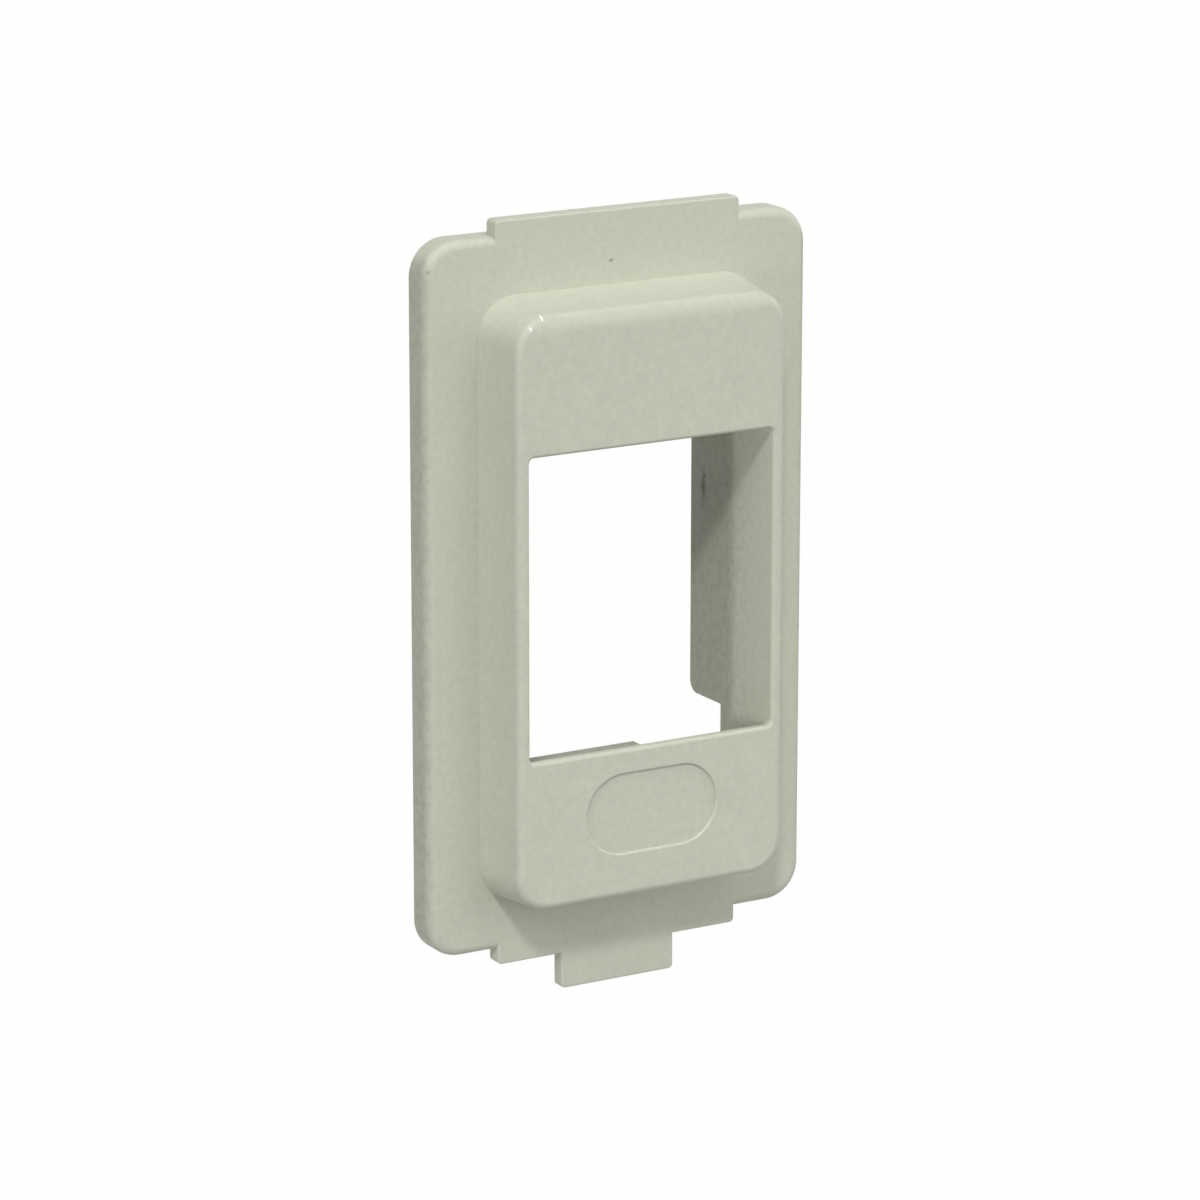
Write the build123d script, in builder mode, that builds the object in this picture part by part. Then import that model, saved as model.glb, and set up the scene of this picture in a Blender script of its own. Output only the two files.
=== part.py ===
from build123d import *
import os

# Keystone wall module adapter: one moulded plastic shell. All sizes are in millimetres.
# X runs to the right, the front faces -Y and Z is up. The origin is the middle of the
# flange's front face, the plane that bears on the back of the wall plate.

# Flange, the shallow tray behind the wall plate
flange_width = 23.3
flange_height = 38.7
flange_depth = 1.6
flange_corner = 2.0
flange_front_round = 0.5
flange_skin = 0.95
flange_rim = 1.1

# Lips above and below the flange, and the snap tab under the lower lip
lip_width = 14.8
lip_rise = 0.85
lip_corner = 0.25
lip_edge_round = 0.12
tab_width = 7.0
tab_drop = 2.0
tab_thickness = 0.8
tab_corner = 0.25

# Boss that stands through the window of the wall plate
boss_height = 32.85
boss_centre_z = -0.2
boss_projection = 3.6
boss_inset = 0.38
boss_top_inset = 0.58
boss_corner = 2.2
boss_front_round = 0.4
crown_radius = 1.8
crown_drop = 1.5
boss_front_wall = 1.3
boss_side_wall = 1.25
cavity_corner = 1.0
cavity_draft = 3.0

# Port that takes a keystone jack, measured at the front of the boss
port_width = 14.85
port_height = 16.4
port_centre_z = 0.09
port_corner = 0.3
port_front_round = 0.2
port_side_wall = 1.06
sill_flat = 0.45
sill_fall = 1.0

# Pocket behind the port: two side walls, a top wall, a latch bar and a bottom shelf
pocket_wall = 1.2
pocket_rear = 4.8
latch_bar_height = 1.8
latch_bar_rear = 2.0
latch_bar_bevel = 0.8
side_wall_foot = 0.05
side_wall_foot_round = 0.7
shelf_width = 7.1
shelf_drop = 2.3
shelf_rear = 4.4
shelf_thickness = 1.2

# Label place low on the front of the boss, left bare
label_width = 8.0
label_height = 4.4
label_depth = 0.15
label_edge_round = 0.1
label_centre_z = -11.65

# Places worked out from the sizes above
boss_width = port_width + 2 * port_side_wall
boss_front = boss_projection
boss_front_height = boss_height - boss_inset - boss_top_inset
boss_front_centre_z = boss_centre_z + (boss_inset - boss_top_inset) / 2
crown_start = boss_centre_z + boss_height / 2 - crown_drop
cavity_front = boss_projection - boss_front_wall
cavity_width = boss_width - 2 * boss_side_wall
cavity_height = boss_height - 2 * boss_side_wall
collar_width = port_width + 2 * pocket_wall
collar_height = cavity_height + 2 * pocket_wall
port_top = port_centre_z + port_height / 2
port_sill = port_centre_z - port_height / 2
pocket_ceiling = port_top + latch_bar_height
shelf_top = port_sill - shelf_drop
shelf_underside = shelf_top - shelf_thickness
tab_bottom = flange_height / 2 + lip_rise + tab_drop


def slab(width, z_low, z_high, y_front, y_rear, mode=Mode.ADD):
    """Block across the middle of the part, between two heights and two depths."""
    with BuildSketch(Plane.XZ.offset(-y_rear)) as end:
        with Locations((0, (z_low + z_high) / 2)):
            Rectangle(width, z_high - z_low)
    extrude(end.sketch, amount=y_rear - y_front, mode=mode)


with BuildPart() as adapter_body:
    # Flange with its softened front edge
    with BuildSketch(Plane.XZ.offset(-flange_depth)):
        RectangleRounded(flange_width, flange_height, flange_corner)
    extrude(amount=flange_depth)
    flange_face = adapter_body.faces().sort_by(Axis.Y)[0]
    fillet(flange_face.outer_wire().edges(), flange_front_round)

    # Lips, flush with the flange's front face
    with BuildSketch(Plane.XZ):
        RectangleRounded(lip_width, flange_height + 2 * lip_rise, lip_corner)
    extrude(amount=-flange_skin)

    # Snap tab
    with BuildSketch(Plane.XZ) as tab:
        with Locations((0, -tab_bottom / 2)):
            Rectangle(tab_width, tab_bottom)
        fillet(tab.vertices().group_by(Axis.Y)[0], tab_corner)
    extrude(amount=-tab_thickness)

    # Soft outer edges of the lips and the tab
    lip_face = adapter_body.faces().filter_by(Axis.Y).sort_by(Axis.Y)[0]
    lip_edges = [
        edge
        for edge in lip_face.outer_wire().edges()
        if abs(edge.center().Z) > flange_height / 2
    ]
    fillet(lip_edges, lip_edge_round)

    # Boss, narrower at its front and most of all at its top
    with BuildSketch(Plane.XZ):
        with Locations((0, boss_centre_z)):
            RectangleRounded(boss_width, boss_height, boss_corner)
    with BuildSketch(Plane.XZ.offset(boss_front)):
        with Locations((0, boss_front_centre_z)):
            RectangleRounded(
                boss_width - 2 * boss_inset, boss_front_height, boss_corner - boss_inset
            )
    loft()

    # Crown, where the boss's front curves back towards its top
    with BuildSketch(Plane.YZ):
        with Locations((crown_radius - boss_front, crown_start)):
            Rectangle(2 * crown_radius, 2 * crown_radius, align=(Align.MAX, Align.MIN))
            Circle(crown_radius, mode=Mode.SUBTRACT)
    extrude(amount=boss_width / 2, both=True, mode=Mode.SUBTRACT)

    # Soft edge round the boss's front and crown
    boss_face, crown_face = adapter_body.faces().sort_by(Axis.Y)[:2]
    crown_line = boss_face.edges().filter_by(Axis.X).sort_by(Axis.Z)[-1]
    boss_edges = [
        edge for edge in boss_face.edges() + crown_face.edges() if not edge.is_same(crown_line)
    ]
    fillet(boss_edges, boss_front_round)

    # Hollow inside the boss, open at the back
    with BuildSketch(Plane.XZ.offset(-flange_depth)):
        with Locations((0, boss_centre_z)):
            RectangleRounded(cavity_width, cavity_height, cavity_corner)
    extrude(amount=flange_depth + cavity_front, taper=cavity_draft, mode=Mode.SUBTRACT)

    # Shallow trough on the back, between the flange's rim and the collar round the boss
    with BuildSketch(Plane.XZ.offset(-flange_depth)):
        RectangleRounded(
            flange_width - 2 * flange_rim,
            flange_height - 2 * flange_rim,
            flange_corner - flange_rim / 2,
        )
        with Locations((0, boss_centre_z)):
            RectangleRounded(collar_width, collar_height, cavity_corner, mode=Mode.SUBTRACT)
    extrude(amount=flange_depth - flange_skin, mode=Mode.SUBTRACT)

    # Walls of the pocket: the sides with rounded rear feet, and the top
    wall_bottom = port_sill - side_wall_foot
    wall_top = pocket_ceiling + pocket_wall
    for side in (-1, 1):
        with BuildSketch(Plane.YZ.offset(side * (port_width + pocket_wall) / 2)) as side_wall:
            with Locations((pocket_rear / 2, (wall_bottom + wall_top) / 2)):
                Rectangle(pocket_rear, wall_top - wall_bottom)
            rear_foot = side_wall.vertices().sort_by(Axis.Y)[:2].sort_by(Axis.X)[-1]
            fillet(rear_foot, side_wall_foot_round)
        extrude(amount=pocket_wall / 2, both=True)
    slab(collar_width, pocket_ceiling, wall_top, 0, pocket_rear)
    slab(port_width, pocket_ceiling, wall_top, -cavity_front, 0)

    # Inside of the pocket, cleared through to the back
    slab(port_width, shelf_underside, pocket_ceiling, -cavity_front, pocket_rear, Mode.SUBTRACT)

    # Latch bar over the port, bevelled at its lower rear edge
    with BuildSketch(Plane.YZ) as latch_bar:
        with Locations(((latch_bar_rear - cavity_front) / 2, port_top + latch_bar_height / 2)):
            Rectangle(latch_bar_rear + cavity_front, latch_bar_height)
        lower_rear = latch_bar.vertices().group_by(Axis.Y)[0].sort_by(Axis.X)[-1]
        chamfer(lower_rear, latch_bar_bevel)
    extrude(amount=port_width / 2, both=True)

    # Shelf under the port
    slab(shelf_width, shelf_underside, shelf_top, -cavity_front, shelf_rear)

    # Port through the front wall
    with BuildSketch(Plane.XZ.offset(boss_front)):
        with Locations((0, port_centre_z)):
            RectangleRounded(port_width, port_height, port_corner)
    extrude(amount=-boss_front_wall, mode=Mode.SUBTRACT)
    port_edges = adapter_body.edges(Select.LAST).filter_by_position(
        Axis.Y, -boss_front, -boss_front + boss_front_round / 4
    )
    fillet(port_edges, port_front_round)

    # Sill that falls away behind its front edge
    with BuildSketch(Plane.YZ):
        with BuildLine():
            Polyline(
                (sill_flat - boss_front, port_sill + port_corner),
                (sill_flat - boss_front, port_sill),
                (-cavity_front, port_sill - sill_fall),
                (-cavity_front, port_sill + port_corner),
                close=True,
            )
        make_face()
    extrude(amount=port_width / 2, both=True, mode=Mode.SUBTRACT)

    # Bare label place, with a soft rim
    with BuildSketch(Plane.XZ.offset(boss_front)):
        with Locations((0, label_centre_z)):
            SlotOverall(label_width, label_height)
    extrude(amount=-label_depth, mode=Mode.SUBTRACT)
    label_edges = adapter_body.edges(Select.LAST).group_by(Axis.Y)[0]
    fillet(label_edges, label_edge_round)

adapter_body.part.label = "adapter_body"

os.makedirs("parts", exist_ok=True)
export_step(adapter_body.part, "parts/adapter_body.step")
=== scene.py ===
"""Looks of the keystone wall module adapter: moulded plastic, soft studio light and the camera."""
import math

import bpy
from mathutils import Matrix, Vector


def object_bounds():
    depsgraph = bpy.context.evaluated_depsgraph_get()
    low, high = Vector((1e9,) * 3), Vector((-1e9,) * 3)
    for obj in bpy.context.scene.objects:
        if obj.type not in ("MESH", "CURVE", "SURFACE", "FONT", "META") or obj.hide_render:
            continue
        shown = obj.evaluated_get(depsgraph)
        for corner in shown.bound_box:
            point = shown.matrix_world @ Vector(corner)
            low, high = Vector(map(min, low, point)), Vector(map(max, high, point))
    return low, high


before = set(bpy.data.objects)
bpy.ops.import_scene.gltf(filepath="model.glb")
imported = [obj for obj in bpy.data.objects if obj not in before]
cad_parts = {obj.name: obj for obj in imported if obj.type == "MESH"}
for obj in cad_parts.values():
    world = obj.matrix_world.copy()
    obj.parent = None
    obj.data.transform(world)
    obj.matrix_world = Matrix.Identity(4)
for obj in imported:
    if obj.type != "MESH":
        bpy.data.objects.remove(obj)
cad_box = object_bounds()

MM = 0.001

# Camera, as fitted to the photograph's straight edges
CAMERA_AZIMUTH = -30.341
CAMERA_ELEVATION = 14.615
CAMERA_ROLL = 0.051
CAMERA_DISTANCE = 274.479 * MM
CAMERA_AIM = Vector((0, 0, 0.14 * MM))
CAMERA_OFFSET_RIGHT = -0.984 * MM
CAMERA_OFFSET_UP = -1.073 * MM
SENSOR_WIDTH = 36.0
FOCAL_LENGTH = 154.695
CLIP_START = 10 * MM

# Floor and background; the floor's lift shows directly and in reflections only
FLOOR_DROP = 110 * MM
FLOOR_HALF_SIZE = 4.0
FLOOR_COLOR = (0.41, 0.41, 0.406, 1)
FLOOR_LIFT = 0.62
BACKGROUND_COLOR = (0.99, 0.99, 0.99, 1)

# Far soft lamps: the place they shine from and their width as seen from the part, in degrees
LAMPS = {
    "key": {"azimuth": -33, "elevation": 44.5, "width": 7, "strength": 0.36},
    "left_high": {"azimuth": -60, "elevation": 40, "width": 28, "strength": 0.175},
    "left": {"azimuth": -75, "elevation": 2, "width": 3.5, "strength": 0.198},
    "far_left": {"azimuth": -95, "elevation": 15, "width": 28, "strength": 0.045},
    "front": {"azimuth": 0, "elevation": 10, "width": 28, "strength": 0.14},
    "front_high": {"azimuth": 20, "elevation": 35, "width": 28, "strength": 0.13},
    "front_right": {"azimuth": 30, "elevation": 10, "width": 28, "strength": 0.09},
    "right": {"azimuth": 75, "elevation": 15, "width": 28, "strength": 0.19},
    "top": {"azimuth": 60, "elevation": 75, "width": 28, "strength": 0.36},
    "back": {"azimuth": 168, "elevation": 3, "width": 7, "strength": 0.33},
}

# Noise: the middle of its colour, and the finer layers that the grain and the waves have
NOISE_MIDDLE = (0.5, 0.5, 0.5)
PLAIN_DETAIL = 2.0

# Sockets of the Mix node that carry colours
MIX_FIRST = 6
MIX_SECOND = 7
MIX_RESULT = 2

# Moulded plastic
PLASTIC_COLOR = (0.53, 0.543, 0.448, 1)
PLASTIC_PALE = (0.56, 0.574, 0.474, 1)
CLOUD_CELLS_PER_MM = 0.35
CLOUD_DETAIL = 4.0
CLOUD_RANGE = (0.3, 0.7)
MOTTLE_CELLS_PER_MM = 2.6
MOTTLE_DETAIL = 5.0
MOTTLE_DARK = 0.93
MOTTLE_LIGHT = 1.07
PLASTIC_SPECULAR = 0.25
ROUGHNESS_LEAST = 0.44
ROUGHNESS_MOST = 0.56
GRAIN_CELLS_PER_MM = 7.0
GRAIN_HEIGHT = 0.0012 * MM
WAVE_CELLS_PER_MM = 0.6
WAVE_HEIGHT = 0.004 * MM
# Dark colour of the dirt marks, and of the painted shade on the outer edges and in the pocket
DIRT_AND_SHADE_COLOR = (0.11, 0.11, 0.07, 1)
# Near white of the painted glints, spots painted as highlights
GLINT_COLOR = (0.95, 0.96, 0.88, 1)

# Painted shade on the outer edges of the flange, the widest form, made blotchy, and inside the
# pocket, where it grows deeper in and carries blotches of dirt; its places and sizes are in
# millimetres
FILM_CELLS_PER_MM = 2.0
FILM_DETAIL = 4.0
BLOTCH_RANGE = (0.4, 0.65)
FLANGE_HALF_WIDTH = cad_box[1].x / MM
OUTER_SHADE_PLACE = (FLANGE_HALF_WIDTH - 0.5, FLANGE_HALF_WIDTH - 0.05)
OUTER_SHADE_AMOUNT = (0.19, 0.29)
POCKET_HALF_WIDTH = 7.5
POCKET_HALF_HEIGHT = 12.0
POCKET_FADE = 0.2
POCKET_SHADE_PLACE = (-3.0, 0.5)
POCKET_DIRT_AND_SHADE_AMOUNT = (0.05, 0.16)

# Dirt marks and painted glints, which are highlights painted as near-white spots, in millimetres;
# edge and core are shares of a mark's radii
MARK_EDGE = 1.0
MARK_CORE = 0.3
RAGGED_CELLS_PER_MM = 5.0
RAGGED_REACH = 0.22
DIRT_MARKS = {
    "speck": {"at": (-0.49, 0.0, 17.48), "radii": (0.26, 0.5, 0.12), "strength": 0.6},
    "edge_mark": {"at": (-11.33, 0.2, 17.81), "radii": (0.20, 0.5, 0.12), "strength": 0.4},
    "scuff": {"at": (7.43, 3.5, 3.7), "radii": (0.5, 0.26, 1.1), "strength": 0.75},
    "scuff_halo": {"at": (7.43, 3.45, 3.5), "radii": (0.5, 0.65, 1.8), "strength": 0.16},
    "small_spot": {"at": (7.43, 1.15, 4.25), "radii": (0.5, 0.28, 0.24), "strength": 0.3},
}
PAINTED_GLINTS = {
    "low": {"at": (-7.33, -3.3, 15.1), "radii": (0.10, 0.6, 0.19)},
    "high": {"at": (-6.59, -3.3, 15.59), "radii": (0.08, 0.6, 0.24)},
    "side": {"at": (-7.84, -3.0, 15.56), "radii": (0.10, 0.6, 0.10)},
}


def direction(azimuth, elevation):
    """Unit vector from the part towards a place round it; azimuth 0 is straight in front."""
    turn = math.radians(azimuth)
    rise = math.radians(elevation)
    flat = math.cos(rise)
    return Vector((math.sin(turn) * flat, -math.cos(turn) * flat, math.sin(rise)))


def add_object(name, data):
    """Links a new object to the scene."""
    made = bpy.data.objects.new(name, data)
    bpy.context.scene.collection.objects.link(made)
    return made


def node(tree, kind, inputs=None, **settings):
    """Adds a shader node, sets its options, and fills or links its inputs."""
    made = tree.nodes.new(kind)
    for name, value in settings.items():
        setattr(made, name, value)
    for socket, value in (inputs or {}).items():
        if isinstance(value, bpy.types.NodeSocket):
            tree.links.new(value, made.inputs[socket])
        else:
            made.inputs[socket].default_value = value
    return made


def math_node(tree, operation, first, second=0.0):
    """Result of one sum on two values."""
    return node(tree, "ShaderNodeMath", {0: first, 1: second}, operation=operation).outputs[0]


def vector_node(tree, operation, first, second):
    """Result of one sum on two vectors."""
    made = node(tree, "ShaderNodeVectorMath", {0: first, 1: second}, operation=operation)
    return made.outputs[0]


def scaled(tree, vector, factor):
    """Vector or colour multiplied by a value."""
    made = node(tree, "ShaderNodeVectorMath", {0: vector, "Scale": factor}, operation="SCALE")
    return made.outputs[0]


def new_material(name):
    """Empty node material, with its tree."""
    made = bpy.data.materials.new(name)
    made.use_nodes = True
    made.node_tree.nodes.clear()
    return made, made.node_tree


def output(tree, shader):
    """Material output fed by one shader."""
    node(tree, "ShaderNodeOutputMaterial", {"Surface": shader})


def add_camera():
    """Camera at the photograph's viewing angle."""
    back = direction(CAMERA_AZIMUTH, CAMERA_ELEVATION)
    level = Vector((0, 0, 1)).cross(back).normalized()
    upright = back.cross(level)
    roll = math.radians(CAMERA_ROLL)
    right = level * math.cos(roll) + upright * math.sin(roll)
    up = upright * math.cos(roll) - level * math.sin(roll)
    data = bpy.data.cameras.new("camera")
    data.lens = FOCAL_LENGTH
    data.sensor_width = SENSOR_WIDTH
    data.clip_start = CLIP_START
    camera = add_object("camera", data)
    pose = Matrix((right, up, back)).transposed().to_4x4()
    pose.translation = (
        CAMERA_AIM
        + right * CAMERA_OFFSET_RIGHT
        + up * CAMERA_OFFSET_UP
        + back * CAMERA_DISTANCE
    )
    camera.matrix_world = pose
    bpy.context.scene.camera = camera


def seen_directly(tree):
    """1 for rays from the camera, in a reflection or through glass, and 0 for all others."""
    path = node(tree, "ShaderNodeLightPath").outputs
    seen = math_node(tree, "MAXIMUM", path["Is Camera Ray"], path["Is Glossy Ray"])
    return math_node(tree, "MAXIMUM", seen, path["Is Transmission Ray"])


def add_world():
    """Pale background, seen directly and in reflections; it gives no other light."""
    world = bpy.data.worlds.new("studio")
    world.use_nodes = True
    bpy.context.scene.world = world
    tree = world.node_tree
    tree.nodes.clear()
    shown = node(
        tree,
        "ShaderNodeBackground",
        {"Color": BACKGROUND_COLOR, "Strength": seen_directly(tree)},
    )
    node(tree, "ShaderNodeOutputWorld", {"Surface": shown.outputs[0]})


def add_lamps():
    """Soft lamps; a surface that faces one of strength 1 renders at its own colour."""
    for name, lamp in LAMPS.items():
        data = bpy.data.lights.new(name, "SUN")
        data.angle = math.radians(lamp["width"])
        data.energy = lamp["strength"] * math.pi
        made = add_object(name, data)
        place = direction(lamp["azimuth"], lamp["elevation"])
        made.rotation_mode = "QUATERNION"
        made.rotation_quaternion = place.to_track_quat("Z", "Y")


def add_floor():
    """Plain pale floor, well below the part, which a wall plate holds up."""
    material, tree = new_material("floor")
    matt = node(tree, "ShaderNodeBsdfDiffuse", {"Color": FLOOR_COLOR})
    lift = node(
        tree,
        "ShaderNodeEmission",
        {"Strength": math_node(tree, "MULTIPLY", seen_directly(tree), FLOOR_LIFT)},
    )
    both = node(tree, "ShaderNodeAddShader", {0: matt.outputs[0], 1: lift.outputs[0]})
    output(tree, both.outputs[0])
    low = cad_box[0].z - FLOOR_DROP
    side = FLOOR_HALF_SIZE
    corners = [(-side, -side, low), (side, -side, low), (side, side, low), (-side, side, low)]
    mesh = bpy.data.meshes.new("floor")
    mesh.from_pydata(corners, [], [(0, 1, 2, 3)])
    mesh.materials.append(material)
    add_object("floor", mesh)


def noise(tree, where, scale, detail=PLAIN_DETAIL):
    """Noise value between 0 and 1."""
    made = node(tree, "ShaderNodeTexNoise", {"Vector": where, "Scale": scale, "Detail": detail})
    return made.outputs[0]


def ramp(tree, value, low, high, start=0.0, end=1.0):
    """Value carried from one range to another, with soft ends."""
    made = node(
        tree,
        "ShaderNodeMapRange",
        {"Value": value, "From Min": low, "From Max": high, "To Min": start, "To Max": end},
        interpolation_type="SMOOTHSTEP",
    )
    return made.outputs[0]


def spot(tree, where, at, radii):
    """1 inside an oval spot, falling to 0 at its edge."""
    offset = vector_node(tree, "SUBTRACT", where, at)
    share = vector_node(tree, "DIVIDE", offset, radii)
    length = node(tree, "ShaderNodeVectorMath", {0: share}, operation="LENGTH")
    return ramp(tree, length.outputs["Value"], MARK_EDGE, MARK_CORE)


def blend_color(tree, amount, first, second):
    """Mix of two colours."""
    made = node(
        tree,
        "ShaderNodeMix",
        {"Factor": amount, MIX_FIRST: first, MIX_SECOND: second},
        data_type="RGBA",
    )
    return made.outputs[MIX_RESULT]


def product(tree, *values):
    """All the values multiplied together."""
    total = values[0]
    for value in values[1:]:
        total = math_node(tree, "MULTIPLY", total, value)
    return total


def painted_shade_and_dirt_film(tree, where):
    """Amount of painted shade: blotchy on the flange's outer edges, and inside the pocket growing
    deeper in, with blotches of dirt.
    """
    uneven = noise(tree, where, FILM_CELLS_PER_MM, FILM_DETAIL)
    blotch = ramp(tree, uneven, *BLOTCH_RANGE)
    split = node(tree, "ShaderNodeSeparateXYZ", {"Vector": where}).outputs
    outward = math_node(tree, "ABSOLUTE", split["X"])
    from_middle = math_node(tree, "ABSOLUTE", split["Z"])
    # Painted shade on the flange's outer edges, made blotchy
    outer = product(
        tree,
        ramp(tree, outward, *OUTER_SHADE_PLACE),
        ramp(tree, blotch, 0.0, 1.0, *OUTER_SHADE_AMOUNT),
    )
    # Inside the pocket: painted shade that grows towards the rear, with blotches of dirt
    inner = product(
        tree,
        ramp(tree, outward, POCKET_HALF_WIDTH + POCKET_FADE, POCKET_HALF_WIDTH),
        math_node(tree, "LESS_THAN", from_middle, POCKET_HALF_HEIGHT),
        ramp(tree, split["Y"], *POCKET_SHADE_PLACE),
        ramp(tree, blotch, 0.0, 1.0, *POCKET_DIRT_AND_SHADE_AMOUNT),
    )
    return math_node(tree, "MAXIMUM", outer, inner)


def ragged_place(tree, where):
    """Place on the part, shaken a little, which gives the marks uneven edges."""
    shake = node(tree, "ShaderNodeTexNoise", {"Vector": where, "Scale": RAGGED_CELLS_PER_MM})
    centred = vector_node(tree, "SUBTRACT", shake.outputs["Color"], NOISE_MIDDLE)
    reach = scaled(tree, centred, 2 * RAGGED_REACH)
    return vector_node(tree, "ADD", where, reach)


def plastic_color(tree, where, cloud):
    """Cream colour with faint clouding and mottling, painted shade on the outer edges and in the
    pocket, dirt marks and painted glints.
    """
    color = blend_color(tree, cloud, PLASTIC_COLOR, PLASTIC_PALE)
    mottle = noise(tree, where, MOTTLE_CELLS_PER_MM, MOTTLE_DETAIL)
    color = scaled(tree, color, ramp(tree, mottle, 0.0, 1.0, MOTTLE_DARK, MOTTLE_LIGHT))
    # Painted shade on the flange's outer edges and inside the pocket, with dirt blotches in the
    # pocket
    color = blend_color(tree, painted_shade_and_dirt_film(tree, where), color, DIRT_AND_SHADE_COLOR)
    ragged = ragged_place(tree, where)
    for mark in DIRT_MARKS.values():
        amount = product(tree, spot(tree, ragged, mark["at"], mark["radii"]), mark["strength"])
        color = blend_color(tree, amount, color, DIRT_AND_SHADE_COLOR)
    # Painted glints: near-white spots at the boss's upper left corner that stand in for highlights
    for glint in PAINTED_GLINTS.values():
        color = blend_color(tree, spot(tree, where, glint["at"], glint["radii"]), color, GLINT_COLOR)
    return color


def shell_plastic():
    """Cream moulded plastic with a satin mould finish."""
    material, tree = new_material("shell_plastic")
    where = scaled(tree, node(tree, "ShaderNodeTexCoord").outputs["Object"], 1 / MM)
    cloud = noise(tree, where, CLOUD_CELLS_PER_MM, CLOUD_DETAIL)
    grain = node(
        tree,
        "ShaderNodeBump",
        {"Height": noise(tree, where, GRAIN_CELLS_PER_MM), "Distance": GRAIN_HEIGHT},
    )
    wave = node(
        tree,
        "ShaderNodeBump",
        {
            "Height": noise(tree, where, WAVE_CELLS_PER_MM),
            "Distance": WAVE_HEIGHT,
            "Normal": grain.outputs[0],
        },
    )
    shader = node(
        tree,
        "ShaderNodeBsdfPrincipled",
        {
            "Base Color": plastic_color(tree, where, cloud),
            "Roughness": ramp(tree, cloud, *CLOUD_RANGE, ROUGHNESS_LEAST, ROUGHNESS_MOST),
            "Specular IOR Level": PLASTIC_SPECULAR,
            "Normal": wave.outputs[0],
        },
    )
    output(tree, shader.outputs[0])
    return material


add_camera()
add_world()
add_lamps()
add_floor()

plastic = shell_plastic()
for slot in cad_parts["adapter_body"].material_slots:
    slot.material = plastic

bpy.context.scene.view_settings.view_transform = "Standard"
